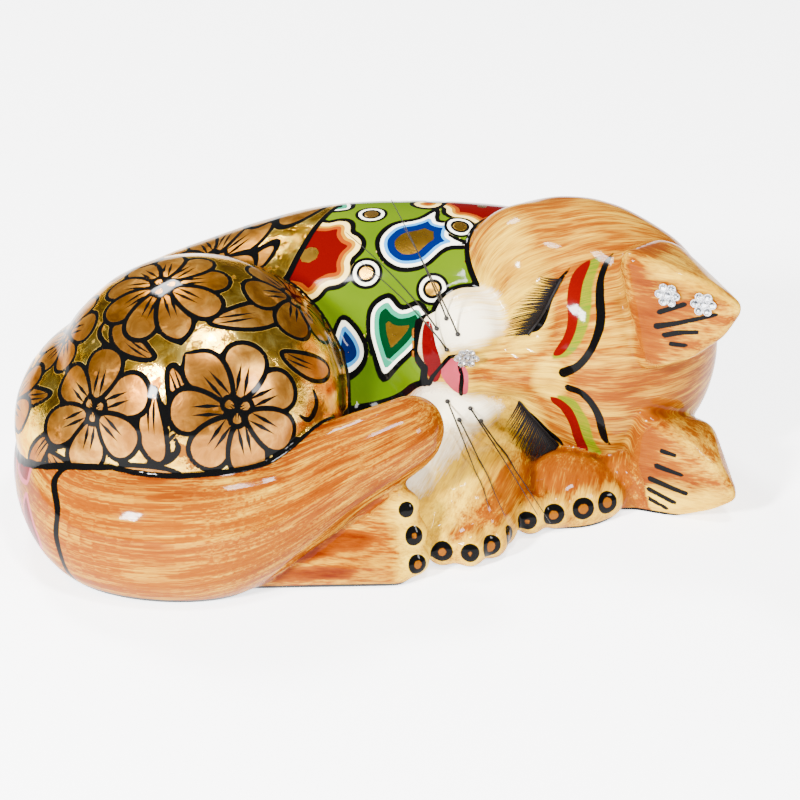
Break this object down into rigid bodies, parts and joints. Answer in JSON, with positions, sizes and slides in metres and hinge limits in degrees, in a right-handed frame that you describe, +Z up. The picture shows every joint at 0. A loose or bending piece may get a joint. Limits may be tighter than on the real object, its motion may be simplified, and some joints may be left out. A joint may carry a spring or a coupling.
{
  "type": "papier mache cat ornament",
  "caption": "Lacquered papier-mache cat curled up asleep on its side, with bristle whiskers, false lashes and rhinestone flowers.",
  "frame": {"origin": "middle of the footprint's bounding box, on the plane the cat lies on", "axes": "+X from the haunch to the tips of the ears, -Y the way the face looks, +Z up"},
  "size_m": [0.3043, 0.215, 0.1416],
  "materials": {
    "painted_body": "hand-painted papier-mache under clear gloss lacquer",
    "bristle": "black bristle",
    "lash": "black fibre fringe",
    "rhinestone": "faceted clear stones on a foil plate"
  },
  "bodies": {
    "root": {"cat_body": "painted_body", "whisker_upper_1": "bristle", "whisker_upper_2": "bristle", "whisker_upper_3": "bristle", "whisker_upper_4": "bristle", "whisker_lower_1": "bristle", "whisker_lower_2": "bristle", "whisker_lower_3": "bristle", "whisker_lower_4": "bristle", "lash_upper": "lash", "lash_lower": "lash", "gem_nose": "rhinestone", "gem_ear_inner": "rhinestone", "gem_ear_outer": "rhinestone"}
  },
  "joints": []
}
